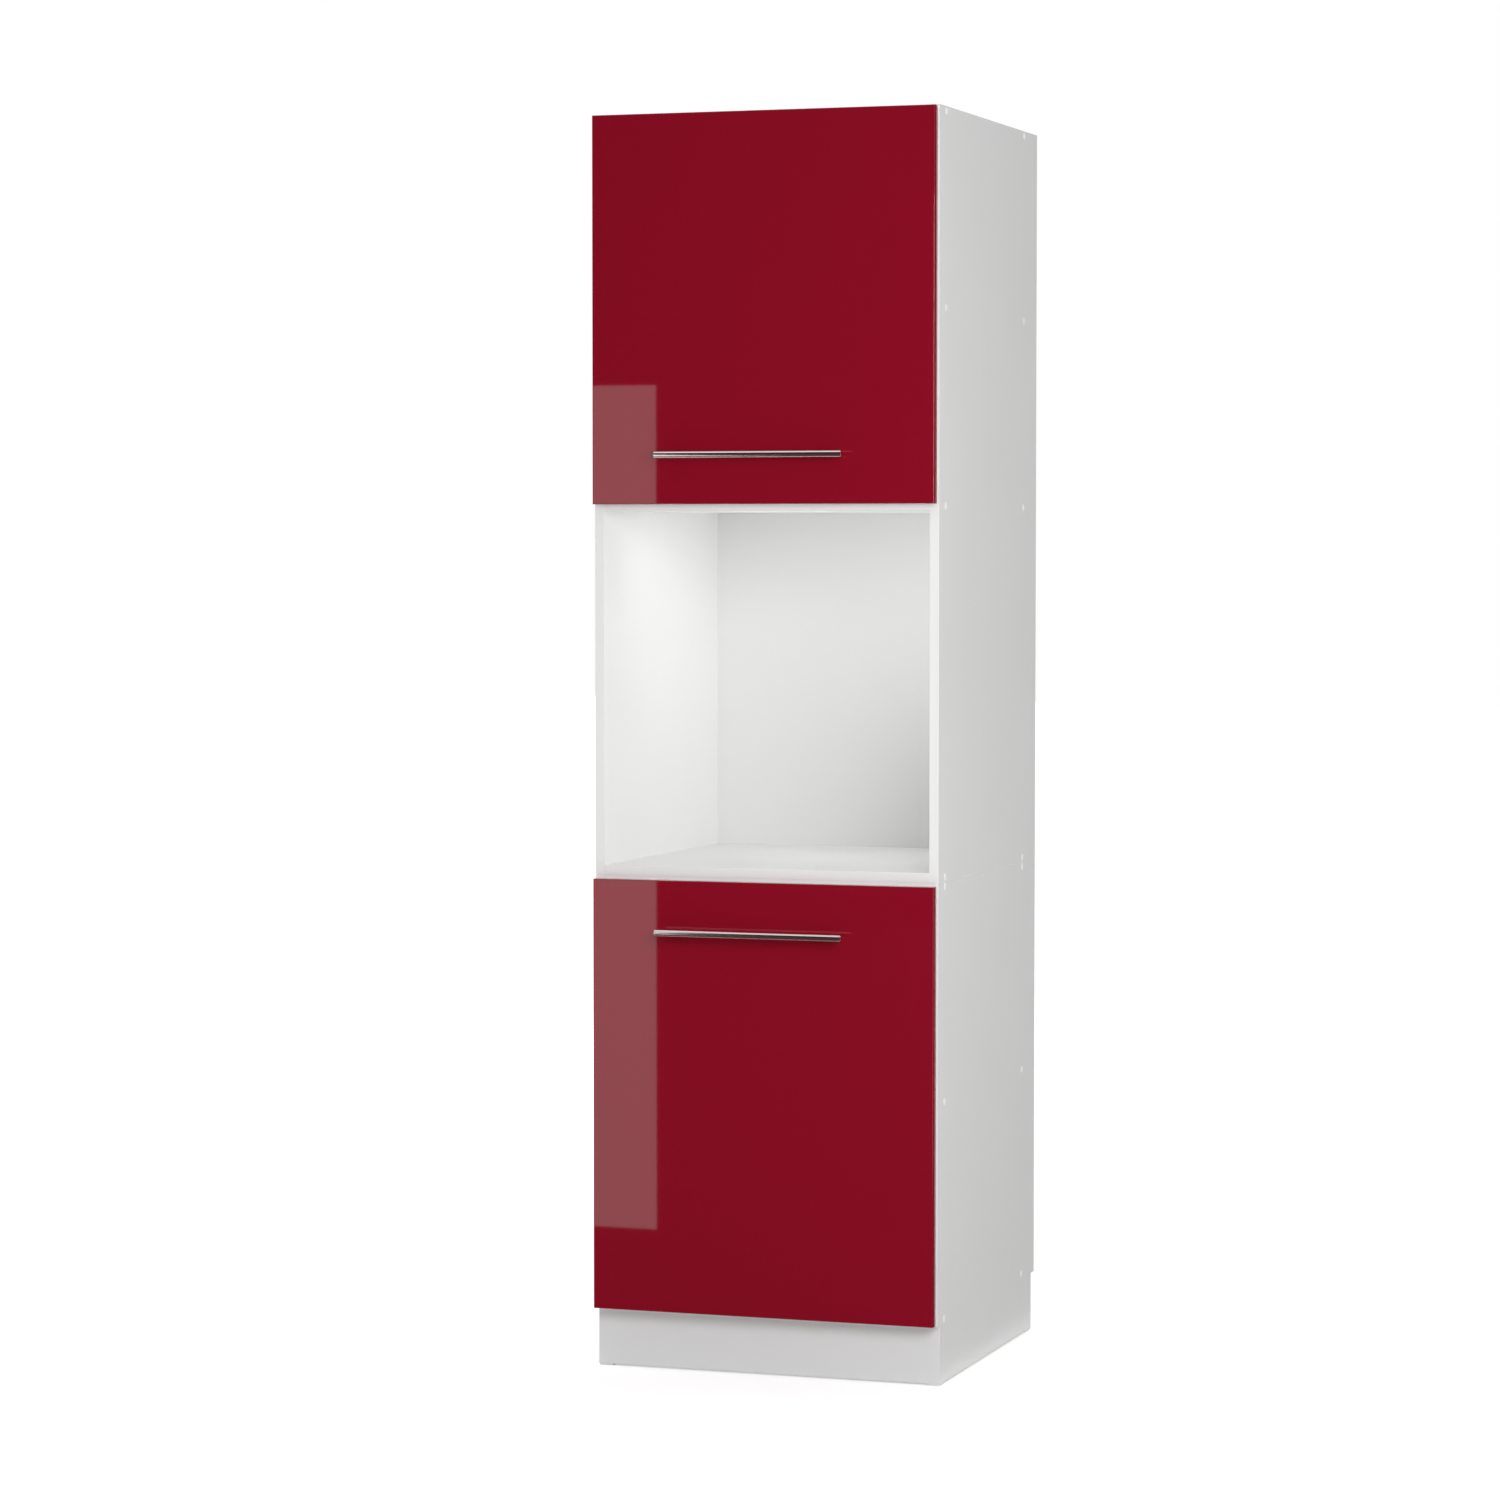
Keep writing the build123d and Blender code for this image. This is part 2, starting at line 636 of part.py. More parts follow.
for name, z in HINGE_Z.items():
    save(f"{name}_cup", hinge_cup(z))
    save(f"{name}_arm", hinge_arm(z))
    save(f"{name}_plate", hinge_plate(z))
    save(f"{name}_links", *link_plates(z))
    save(f"{name}_guide", guide_link(z))
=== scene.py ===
# %% [markdown]
# # A tall oven housing unit
#
# The unit is a kitchen cabinet with an open bay for an oven, a red gloss door above it and one below.
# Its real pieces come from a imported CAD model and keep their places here. This script gives each piece
# its finish, makes the small fittings again as finer meshes, and sets up the floor, the lamps and the
# camera.

# %% Load the CAD model
import json
import math

import bmesh
import bpy
from mathutils import Matrix, Vector

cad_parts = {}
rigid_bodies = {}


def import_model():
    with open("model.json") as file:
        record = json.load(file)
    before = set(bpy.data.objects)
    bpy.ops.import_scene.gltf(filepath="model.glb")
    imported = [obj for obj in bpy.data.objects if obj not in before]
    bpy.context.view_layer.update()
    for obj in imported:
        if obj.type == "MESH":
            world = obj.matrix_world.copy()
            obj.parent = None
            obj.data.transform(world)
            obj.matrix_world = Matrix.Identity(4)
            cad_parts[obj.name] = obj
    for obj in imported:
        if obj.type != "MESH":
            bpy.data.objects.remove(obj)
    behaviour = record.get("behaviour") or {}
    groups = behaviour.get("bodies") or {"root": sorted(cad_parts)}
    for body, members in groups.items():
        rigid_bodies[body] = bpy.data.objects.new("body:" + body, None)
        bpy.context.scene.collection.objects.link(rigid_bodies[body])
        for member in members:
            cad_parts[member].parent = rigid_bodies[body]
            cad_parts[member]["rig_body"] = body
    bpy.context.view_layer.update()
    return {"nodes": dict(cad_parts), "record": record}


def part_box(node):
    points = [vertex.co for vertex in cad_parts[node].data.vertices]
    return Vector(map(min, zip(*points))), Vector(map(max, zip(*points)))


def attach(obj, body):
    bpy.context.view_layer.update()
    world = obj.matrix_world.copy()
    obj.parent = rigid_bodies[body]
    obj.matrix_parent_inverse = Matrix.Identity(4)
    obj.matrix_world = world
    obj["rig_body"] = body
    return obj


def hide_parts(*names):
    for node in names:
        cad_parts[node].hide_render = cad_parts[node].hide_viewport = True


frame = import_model()
nodes = frame["nodes"]

# %% [markdown]
# A finish changes where a board ends, for instance at a bare edge. Those places are read from the loaded
# pieces, so the finishes stay in place if the model changes. A box is the lowest and the highest corner
# of a piece, in metres.

# %% Read sizes from the pieces
MM = 0.001
side_low, side_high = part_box("right_side_upper")
back_low, back_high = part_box("back_upper")
FRONT = side_low.y
REAR = side_high.y
TOP = side_high.z
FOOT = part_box("right_side_lower")[0].z
NOTCH_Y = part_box("foot_glides")[1].y
NOTCH_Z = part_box("plinth")[1].z
print("front", FRONT, "rear", REAR, "joint between the two carcasses", side_low.z)

# %% [markdown]
# ## Shader maths as plain sums
#
# A finish is a small network of nodes, and most of it is arithmetic on positions. Placing Math nodes by
# hand hides that arithmetic, so a `Signal` wraps a node's output and takes part in Python sums:
# `1 - mask * 0.5` adds the nodes it needs. A comparison such as `y > REAR` gives a mask that is 1 where
# it holds and 0 elsewhere.

# %% Signal
class Signal:
    """The output of a node, usable in sums."""

    def __init__(self, finish, socket):
        self.finish = finish
        self.socket = socket

    def __add__(self, other):
        return self.finish.maths("ADD", self, other)

    def __sub__(self, other):
        return self.finish.maths("SUBTRACT", self, other)

    def __rsub__(self, other):
        return self.finish.maths("SUBTRACT", other, self)

    def __mul__(self, other):
        return self.finish.maths("MULTIPLY", self, other)

    def __gt__(self, other):
        return self.finish.maths("GREATER_THAN", self, other)

    def __lt__(self, other):
        return self.finish.maths("LESS_THAN", self, other)

    def __abs__(self):
        return self.finish.maths("ABSOLUTE", self)

    def either(self, other):
        """The larger of two signals: for two masks, where the one or the other holds."""
        return self.finish.maths("MAXIMUM", self, other)

    __radd__ = __add__
    __rmul__ = __mul__


# %% [markdown]
# A `Finish` holds one material and adds every other kind of node with a single method, which takes the
# node's type, its settings and what its sockets get. The patterns read Object coordinates, which are
# metres in the unit's own frame, because every piece's object sits at the origin.

# %% Finish
MIX_COLOUR = {"data_type": "RGBA"}


class Finish:
    """One material, its nodes and its surface shader."""

    def __init__(self, name, **surface):
        self.material = bpy.data.materials.new(name)
        self.material.use_nodes = True
        self.tree = self.material.node_tree
        self.shader = self.tree.nodes["Principled BSDF"]
        self.set(**surface)

    def feed(self, socket, value):
        """Links a signal to a socket, or writes a plain number or colour on it."""
        if isinstance(value, Signal):
            self.tree.links.new(value.socket, socket)
        elif hasattr(value, "__len__") and len(value) == 3 and socket.type == "RGBA":
            socket.default_value = (*value, 1)
        else:
            socket.default_value = value

    def node(self, kind, settings=None, inputs=None, output=0):
        """Adds a node; a ramp's stops are pairs of a place and a colour."""
        made = self.tree.nodes.new(kind)
        settings = dict(settings or {})
        stops = settings.pop("stops", None)
        for key, value in settings.items():
            setattr(made, key, value)
        if stops:
            ramp = made.color_ramp.elements
            while len(ramp) < len(stops):
                ramp.new(1)
            for element, (place, colour) in zip(ramp, stops):
                element.position = place
                element.color = (*colour, 1)
        for key, value in (inputs or {}).items():
            self.feed(made.inputs[key], value)
        return Signal(self, made.outputs[output])

    def maths(self, operation, *values):
        return self.node("ShaderNodeMath", {"operation": operation}, dict(enumerate(values)))

    def mix(self, factor, first, second):
        """The first colour where the factor is 0, the second where it is 1."""
        return self.node("ShaderNodeMix", MIX_COLOUR, {0: factor, 6: first, 7: second}, output=2)

    def ramp(self, factor, stops):
        return self.node("ShaderNodeValToRGB", {"stops": stops}, {0: factor})

    def place(self, scale=(1, 1, 1)):
        """The position on the unit; a scale under 1 stretches a pattern along that axis."""
        spot = self.node("ShaderNodeTexCoord", output="Object")
        return self.node("ShaderNodeMapping", {}, {"Vector": spot, "Scale": scale})

    def axes(self):
        """The position on the unit as three signals."""
        spot = self.node("ShaderNodeTexCoord", output="Object")
        parts = self.node("ShaderNodeSeparateXYZ", {}, {0: spot}).socket.node
        return [Signal(self, parts.outputs[axis]) for axis in "XYZ"]

    def noise(self, size, scale=(1, 1, 1), detail=2.0, rough=0.5):
        """Cloudy noise from 0 to 1 whose patches are about `size` metres across."""
        inputs = {"Vector": self.place(scale), "Scale": 1 / size, "Detail": detail, "Roughness": rough}
        return self.node("ShaderNodeTexNoise", {}, inputs)

    def bump(self, height, strength, depth):
        inputs = {"Height": height, "Strength": strength, "Distance": depth}
        return self.node("ShaderNodeBump", {}, inputs)

    def set(self, **surface):
        """Feeds the shader's own sockets; Base_Color stands for Base Color."""
        for key, value in surface.items():
            self.feed(self.shader.inputs[key.replace("_", " ")], value)
        return self


def darker(tone, share):
    """The tone with each of its parts multiplied by a share a little under 1."""
    return tuple(part * share for part in tone)


# %% [markdown]
# ## White boards
#
# The carcass is chipboard faced with white melamine paper. On a real board the saw has laid the core
# bare wherever no edge strip was glued on. The core is pressed wood chips a few millimetres long, and a
# Voronoi pattern looks like them: each cell is one chip, and its random colour picks a tone from a ramp.

# %% Raw chipboard
CHIPS_PER_METRE = 620.0
CHIP_STRETCH = (0.45, 0.45, 1)
CHIP_TONES = [
    (0.0, (0.16, 0.095, 0.045)),
    (0.35, (0.36, 0.24, 0.13)),
    (1.0, (0.58, 0.44, 0.28)),
]


def chip_colour(finish):
    """Pressed wood chips, from dark to pale brown."""
    settings = {"feature": "F1", "distance": "EUCLIDEAN"}
    inputs = {"Vector": finish.place(CHIP_STRETCH), "Scale": CHIPS_PER_METRE, "Randomness": 1.0}
    chips = finish.node("ShaderNodeTexVoronoi", settings, inputs, output="Color")
    tone = finish.node("ShaderNodeSeparateColor", {}, {0: chips}, output="Red")
    return finish.ramp(tone, CHIP_TONES)


# %% [markdown]
# The facing has a faint pearl texture. The outer faces of the side boards are painted a shade greyer:
# painted shade, as they get less light than the front. The front edge wears a thin strip whose glue line
# shows from close by, and the side boards are bare at the rear, at the top and bottom and in the notch
# for the skirting. All of these are masks on the position of the surface, so one function makes the
# finish of every board.

# %% White facing
WHITE = (0.86, 0.86, 0.855)
# Painted shade: the outer faces of the side boards get this greyer white, as they get less light than
# the front.
OUTER_WHITE_PAINTED_SHADE = (0.79, 0.79, 0.785)
# Painted shade: the plinth gets a greyer white than the other boards, in place of the shade under the
# doors.
PLINTH_WHITE_WITH_PAINTED_SHADE = (0.78, 0.78, 0.78)
GLUE_TONE = (0.45, 0.42, 0.38)
GLUE_SHOWS = 0.35
EDGE_STRIP = 1.0 * MM
GLUE_LINE = 0.12 * MM
SKIN = 0.3 * MM
BOARD_IOR = 1.5
BOARD_ROUGH = 0.36
BOARD_ROUGH_SPAN = 0.08
BOARD_CLOUD = 160 * MM
CHIPS_ROUGHER = 0.4
PEARL_SIZE = 1.1 * MM
PEARL_DEPTH = 0.06 * MM
PEARL_STRENGTH = 0.10


def board_finish(name, raw_mask=None, strips=True, white=WHITE):
    """White melamine facing; raw_mask(y, z) says where a side board's bare chipboard shows."""
    finish = Finish(name, IOR=BOARD_IOR)
    x, y, z = finish.axes()
    cloud = finish.noise(BOARD_CLOUD)
    colour = finish.mix(cloud * 0.5, white, darker(white, 0.975))
    if strips:
        line = abs(y - (FRONT + EDGE_STRIP)) < GLUE_LINE
        colour = finish.mix(line * GLUE_SHOWS, colour, GLUE_TONE)
    rough = BOARD_ROUGH + cloud * BOARD_ROUGH_SPAN
    if raw_mask:
        # Painted shade on the side boards' outer faces.
        shaded_outside = abs(x) > side_high.x - SKIN
        colour = finish.mix(shaded_outside, colour, OUTER_WHITE_PAINTED_SHADE)
        raw = raw_mask(y, z)
        colour = finish.mix(raw, colour, chip_colour(finish))
        rough = rough + raw * CHIPS_ROUGHER
    pearl = finish.bump(finish.noise(PEARL_SIZE, detail=1.0), PEARL_STRENGTH, PEARL_DEPTH)
    return finish.set(Base_Color=colour, Roughness=rough, Normal=pearl)


def side_raw(y, z):
    """The side boards' rear, top, bottom and notch edges are bare."""
    rear = y > REAR - SKIN
    top = z > TOP - SKIN
    foot = z < FOOT + SKIN
    notch = (y > NOTCH_Y - SKIN) * (z < NOTCH_Z + SKIN)
    return rear.either(top).either(foot).either(notch)


white_side = board_finish("white_side_board", side_raw)
white_shelf = board_finish("white_inner_board")
# The plinth's greyer white is painted shade.
plinth_with_painted_shade = board_finish("plinth_board_painted_shade", strips=False, white=PLINTH_WHITE_WITH_PAINTED_SHADE)
print("white facings:", white_side.material.name, white_shelf.material.name, plinth_with_painted_shade.material.name)

# %% [markdown]
# ## Hardboard backs
#
# The backs are 3 mm hardboard, painted white on the side that faces into the unit and left brown
# behind. The switch from one to the other is the middle of the sheet's thickness, so a single mask on Y
# serves the paint, the colour and the roughness.

# %% Hardboard
HARDBOARD_WHITE = (0.76, 0.76, 0.755)
HARDBOARD_SHADE = (0.74, 0.74, 0.735)
FIBRE_TONES = [
    (0.25, (0.10, 0.052, 0.025)),
    (0.55, (0.19, 0.105, 0.052)),
    (0.8, (0.27, 0.16, 0.085)),
]
FIBRE_SIZE = 2.2 * MM
FIBRE_STRETCH = (1, 1, 0.25)
FIBRE_DEPTH = 0.1 * MM
PAINT_CLOUD = 220 * MM
PAINT_ROUGH = 0.42
FIBRES_ROUGHER = 0.25


def hardboard_finish():
    finish = Finish("hardboard_back", IOR=BOARD_IOR)
    y = finish.axes()[1]
    behind = y > (back_low.y + back_high.y) / 2
    fibres = finish.noise(FIBRE_SIZE, scale=FIBRE_STRETCH, detail=6.0, rough=0.7)
    brown = finish.ramp(fibres, FIBRE_TONES)
    white = finish.mix(finish.noise(PAINT_CLOUD) * 0.5, HARDBOARD_WHITE, HARDBOARD_SHADE)
    colour = finish.mix(behind, white, brown)
    rough = PAINT_ROUGH + behind * FIBRES_ROUGHER
    return finish.set(Base_Color=colour, Roughness=rough, Normal=finish.bump(fibres, 0.08, FIBRE_DEPTH))


hardboard = hardboard_finish()
print("backs:", hardboard.material.name)

# %% [markdown]
# ## Red gloss doors
#
# The doors are fibreboard wrapped in a high gloss red film, with a plain white back. Gloss lives in the
# reflection: the film is almost a mirror, and only the faintest waviness keeps it from looking like
# glass. The bored holes for the hinge cups show the brown fibreboard core. They are the only surfaces
# that lie inside the panel's box, so a mask on all three axes finds them.

# %% Gloss film
RED = (0.250, 0.0036, 0.0160)
FIBREBOARD_DARK = (0.30, 0.19, 0.10)
FIBREBOARD_PALE = (0.48, 0.34, 0.20)
FILM_EDGE = 1.6 * MM
FILM_ROUGH = 0.028
BACK_ROUGHER = 0.34
CORE_ROUGHER = 0.6
FILM_CLOUD = 300 * MM
FILM_WAVE = 9 * MM
WAVE_DEPTH = 0.02 * MM
WAVE_STRENGTH = 0.015
FLUFF_SIZE = 0.9 * MM
DOORS = ("upper", "lower")


def door_finish(name, panel):
    """Red film in front and on the edges, white behind, brown in the bored holes."""
    low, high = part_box(panel)
    finish = Finish(name, IOR=BOARD_IOR)
    x, y, z = finish.axes()
    back = y > high.y - SKIN
    inside_x = (x > low.x + SKIN) * (x < high.x - SKIN)
    inside_y = (y > low.y + FILM_EDGE) * (y < high.y - SKIN)
    inside_z = (z > low.z + SKIN) * (z < high.z - SKIN)
    core = inside_x * inside_y * inside_z
    red = finish.mix(finish.noise(FILM_CLOUD) * 0.4, RED, darker(RED, 0.96))
    brown = finish.mix(finish.noise(FLUFF_SIZE, detail=5.0), FIBREBOARD_DARK, FIBREBOARD_PALE)
    colour = finish.mix(back, red, WHITE)
    colour = finish.mix(core, colour, brown)
    rough = FILM_ROUGH + back * BACK_ROUGHER + core * CORE_ROUGHER
    waves = finish.bump(finish.noise(FILM_WAVE, detail=0.0), WAVE_STRENGTH, WAVE_DEPTH)
    return finish.set(Base_Color=colour, Roughness=rough, Normal=waves)


door_film = {door: door_finish(f"red_gloss_{door}", f"{door}_door_panel") for door in DOORS}
print("door films:", [film.material.name for film in door_film.values()])

# %% [markdown]
# ## Brushed steel
#
# The bar handles and their posts are stainless steel, brushed along their length. A brush leaves long
# fine hairs, so the noise is stretched that way: along X on a bar, along Y on a post. The hairs change
# the tone, the roughness and the bump together, as they do on real steel. The tone is also tinted pink,
# a painted reflection of the red doors on the grey steel.

# %% Bars and posts
# Painted reflection: this tone is tinted pink, as if the steel mirrored the red doors, over the steel's
# own grey.
STEEL_WITH_PAINTED_RED_REFLECTION = (0.76, 0.67, 0.66)
HAIR_SIZE = 0.35 * MM
HAIR_DEPTH = 0.01 * MM
BRUSHED_CLOUD = 30 * MM
BRUSHED_ROUGH = 0.11
HAIRS_ROUGHER = 0.04
CLOUD_ROUGHER = 0.02
BAR_STRETCH = (0.012, 1, 1)
POST_STRETCH = (1, 0.05, 1)


def brushed_finish(name, stretch):
    finish = Finish(name, Metallic=1.0)
    hairs = finish.noise(HAIR_SIZE, scale=stretch, detail=3.0)
    cloud = finish.noise(BRUSHED_CLOUD, scale=stretch)
    colour = finish.mix(hairs, darker(STEEL_WITH_PAINTED_RED_REFLECTION, 0.95), STEEL_WITH_PAINTED_RED_REFLECTION)
    rough = BRUSHED_ROUGH + hairs * HAIRS_ROUGHER + cloud * CLOUD_ROUGHER
    return finish.set(Base_Color=colour, Roughness=rough, Normal=finish.bump(hairs, 0.05, HAIR_DEPTH))


bar_steel = brushed_finish("brushed_bar", BAR_STRETCH)
post_steel = brushed_finish("turned_posts", POST_STRETCH)
print("brushed steels:", bar_steel.material.name, post_steel.material.name)

# %% [markdown]
# ## Plated metals
#
# The hinges are nickel plated and almost bright. The screws have a thin zinc plate, which is duller and
# slightly blue, and the hinge pins are plain bright steel. Plating has no grain, only faint clouds, so
# one function makes all three from a tone, a range of roughness and the size of a cloud.

# %% Nickel, zinc and bright steel
NICKEL = (0.72, 0.70, 0.66)
ZINC = (0.66, 0.68, 0.71)
BRIGHT_STEEL = (0.62, 0.62, 0.62)
PLATE_DEPTH = 0.03 * MM


def plated_finish(name, tone, rough_low, rough_span, speck):
    finish = Finish(name, Metallic=1.0)
    cloud = finish.noise(speck, detail=4.0)
    colour = finish.mix(cloud, darker(tone, 0.93), tone)
    rough = rough_low + cloud * rough_span
    return finish.set(Base_Color=colour, Roughness=rough, Normal=finish.bump(cloud, 0.05, PLATE_DEPTH))


nickel = plated_finish("nickel_plate", NICKEL, rough_low=0.16, rough_span=0.14, speck=3 * MM)
zinc = plated_finish("zinc_plate", ZINC, rough_low=0.26, rough_span=0.16, speck=1.5 * MM)
pin_metal = plated_finish("bright_pins", BRIGHT_STEEL, rough_low=0.22, rough_span=0.12, speck=1 * MM)
print("plated metals:", [metal.material.name for metal in (nickel, zinc, pin_metal)])

# %% [markdown]
# ## Plastics and wood
#
# The screw caps and glides are moulded white plastic with a fine matt skin, the door buffers are soft
# and clear, and the dowels are plain beech, with the grain along their length.

# %% Caps, buffers and dowels
# Painted highlight: the caps' white is whiter than the boards', partly the plastic's own tone, partly so
# the caps read as bright dashes.
CAP_WHITE_WITH_PAINTED_HIGHLIGHT = (0.94, 0.94, 0.94)
GLIDE_WHITE = (0.78, 0.78, 0.77)
BUFFER_CLEAR = (0.80, 0.80, 0.78)
BEECH_DARK = (0.50, 0.33, 0.18)
BEECH_PALE = (0.66, 0.48, 0.30)
PLASTIC_IOR = 1.46
BEECH_IOR = 1.45
PLASTIC_GRAIN = 0.3 * MM
PLASTIC_DEPTH = 0.03 * MM
PLASTIC_ROUGH_SPAN = 0.08
BEECH_GRAIN = 0.8 * MM
BEECH_STRETCH = (0.06, 1, 1)
BEECH_DEPTH = 0.1 * MM
BEECH_ROUGH = 0.55
BEECH_ROUGH_SPAN = 0.1


def plastic_finish(name, tone, rough, **surface):
    finish = Finish(name, IOR=PLASTIC_IOR, **surface)
    skin = finish.noise(PLASTIC_GRAIN)
    colour = finish.mix(skin * 0.3, tone, darker(tone, 0.96))
    pimples = finish.bump(skin, 0.06, PLASTIC_DEPTH)
    return finish.set(Base_Color=colour, Roughness=rough + skin * PLASTIC_ROUGH_SPAN, Normal=pimples)


def beech_finish():
    finish = Finish("beech_dowel", IOR=BEECH_IOR)
    grain = finish.noise(BEECH_GRAIN, scale=BEECH_STRETCH, detail=4.0)
    colour = finish.mix(grain, BEECH_DARK, BEECH_PALE)
    ridges = finish.bump(grain, 0.2, BEECH_DEPTH)
    rough = BEECH_ROUGH + grain * BEECH_ROUGH_SPAN
    return finish.set(Base_Color=colour, Roughness=rough, Normal=ridges)


cap_plastic = plastic_finish("white_cap_plastic", CAP_WHITE_WITH_PAINTED_HIGHLIGHT, rough=0.55)
glide_plastic = plastic_finish("glide_plastic", GLIDE_WHITE, rough=0.45)
buffer_plastic = plastic_finish("clear_buffer", BUFFER_CLEAR, rough=0.22, Transmission_Weight=0.5)
beech = beech_finish()
for made in (cap_plastic, glide_plastic, buffer_plastic, beech):
    print("finish:", made.material.name)

# %% [markdown]
# ## Dress the CAD pieces
#
# A CAD piece whose shape is right only needs its material. The record says which slot each piece
# belongs to, and the boards and doors get the variant that knows their own edges.

# %% Give every CAD piece its finish
SLOT_FINISH = {
    "white_board": white_shelf,
    "white_hardboard": hardboard,
    "brushed_steel": bar_steel,
    "nickel_steel": nickel,
    "pin_steel": pin_metal,
    "zinc_steel": zinc,
    "cap_plastic": cap_plastic,
    "glide_plastic": glide_plastic,
    "clear_buffer": buffer_plastic,
    "beech": beech,
}
OWN_FINISH = {
    "plinth": plinth_with_painted_shade,
    "upper_door_panel": door_film["upper"],
    "lower_door_panel": door_film["lower"],
    "upper_handle_posts": post_steel,
    "lower_handle_posts": post_steel,
}
slot_of = {row["node"]: row["material_slot"] for row in frame["record"]["subparts"]}


def finish_of(name):
    if name in OWN_FINISH:
        return OWN_FINISH[name]
    if "_side_" in name:
        return white_side
    return SLOT_FINISH[slot_of[name]]


for name, part in nodes.items():
    part.data.materials.clear()
    part.data.materials.append(finish_of(name).material)
print("finishes given to", len(nodes), "pieces")

# %% [markdown]
# ## Find the separate solids of a node
#
# Identical fasteners share one CAD node. To put a finer mesh in place of each, the script merges a copy
# of the node's loose triangles and walks over connected vertices. Each connected group is one fastener,
# and its box gives place and size.

# %% Boxes of the solids in one node
SAME_SPOT = 0.001 * MM


def solid_boxes(node_name):
    """The lowest and highest corner of each solid in a node, in order of place."""
    shape = bmesh.new()
    shape.from_mesh(nodes[node_name].data)
    bmesh.ops.remove_doubles(shape, verts=shape.verts, dist=SAME_SPOT)
    boxes = []
    seen = set()
    for start in shape.verts:
        if start in seen:
            continue
        group = {start}
        to_visit = [start]
        while to_visit:
            for edge in to_visit.pop().link_edges:
                for vert in edge.verts:
                    if vert not in group:
                        group.add(vert)
                        to_visit.append(vert)
        seen |= group
        spans = [[vert.co[axis] for vert in group] for axis in range(3)]
        boxes.append((Vector(map(min, spans)), Vector(map(max, spans))))
    shape.free()
    return sorted(boxes, key=lambda pair: tuple(round(value, 5) for value in pair[0]))


for node_name in ("cover_caps", "upper_cup_screws", "upper_cup_pins"):
    print(node_name, "holds", len(solid_boxes(node_name)), "solids")

# %% [markdown]
# A finer mesh is drawn once as a template, standing along Z at the origin, and stamped at the place of
# each fastener. The finished piece then rides on the body of the CAD node that it stands for, so it
# moves with the door.

# %% From a template to a finished piece
SHARP_ANGLE = math.radians(32)
FINE_SPOT = 0.0005 * MM


def verts_in(made):
    return [item for item in made if isinstance(item, bmesh.types.BMVert)]


def template_of(shape):
    bmesh.ops.recalc_face_normals(shape, faces=shape.faces)
    mesh = bpy.data.meshes.new("template")
    shape.to_mesh(mesh)
    shape.free()
    return mesh


def stamp(shape, template, matrix):
    """Adds the template to shape, placed by matrix, and throws the template away."""
    before = set(shape.verts)
    shape.from_mesh(template)
    added = [vert for vert in shape.verts if vert not in before]
    bmesh.ops.transform(shape, matrix=matrix, verts=added)
    bpy.data.meshes.remove(template)


def facing(direction):
    """A turn that takes +Z to the given direction."""
    return Vector(direction).to_track_quat("Z", "Y").to_matrix().to_4x4()


def finished_piece(name, shape, finish, node_name):
    """Turns a bmesh into a piece that stands for a CAD node and rides on that node's body."""
    bmesh.ops.remove_doubles(shape, verts=shape.verts, dist=FINE_SPOT)
    bmesh.ops.recalc_face_normals(shape, faces=shape.faces)
    mesh = bpy.data.meshes.new(name)
    shape.to_mesh(mesh)
    shape.free()
    piece = bpy.data.objects.new(name, mesh)
    bpy.context.scene.collection.objects.link(piece)
    mesh.materials.append(finish.material)
    mesh.shade_smooth()
    mesh.set_sharp_from_angle(angle=SHARP_ANGLE)
    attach(piece, nodes[node_name]["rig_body"])
    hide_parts(node_name)
    print(name, "has", len(mesh.polygons), "faces")


# %% [markdown]
# ## Screws with a cross recess
#
# What a person sees of a fitting screw is its head with a cross-shaped recess for the driver. The head
# starts as a grid whose lines are moved so that the middle cells form the cross. The rim is rounded to
# a circle, the cross is pushed in, and the outer edge is pulled down into the head's side and on into
# the shank. The sizes of the recess are shares of the head, as on real screws.

# %% One screw from a grid
GRID_HALF = 4
CROSS_HALF_WIDTH = 0.11
CROSS_REACH = 0.55
CROSS_DEPTH = 0.55
CROSS_TAPER = 0.8
RIM_DROP = 0.12
RIM_ROUND = 0.1
BEVEL = {"profile": 0.5, "affect": "EDGES", "material": -1}


def screw_template(head_r, head_h, shank_r, length, sunk):
    """A screw under its head's top at the origin; a sunk head narrows to the shank as a cone."""
    cross_half = head_r * CROSS_HALF_WIDTH
    cross_reach = head_r * CROSS_REACH
    lines = [0, cross_half, (cross_half + cross_reach) / 2, cross_reach, head_r]
    shape = bmesh.new()
    bmesh.ops.create_grid(shape, x_segments=2 * GRID_HALF, y_segments=2 * GRID_HALF, size=1)
    for vert in shape.verts:
        steps = [round(value * GRID_HALF) for value in vert.co.xy]
        spot = Vector([math.copysign(lines[abs(step)], step) for step in steps])
        if max(abs(step) for step in steps) == GRID_HALF:
            spot = spot.normalized() * head_r
        vert.co = (*spot, 0)
    rim = [edge for edge in shape.edges if edge.is_boundary]
    push_cross(shape, cross_half, cross_reach, head_h * CROSS_DEPTH)
    rim = pull(shape, rim, -head_h * RIM_DROP, 1.0)
    rim = pull(shape, rim, -head_h * (1 - RIM_DROP), shank_r / head_r if sunk else 1.0)
    if not sunk:
        rim = pull(shape, rim, 0, shank_r / head_r)
    rim = pull(shape, rim, -length, 1.0)
    bmesh.ops.holes_fill(shape, edges=rim, sides=0)
    top = [edge for edge in shape.edges if on_top_rim(edge, head_r)]
    bmesh.ops.bevel(shape, geom=top, offset=head_h * RIM_ROUND, segments=2, **BEVEL)
    return template_of(shape)


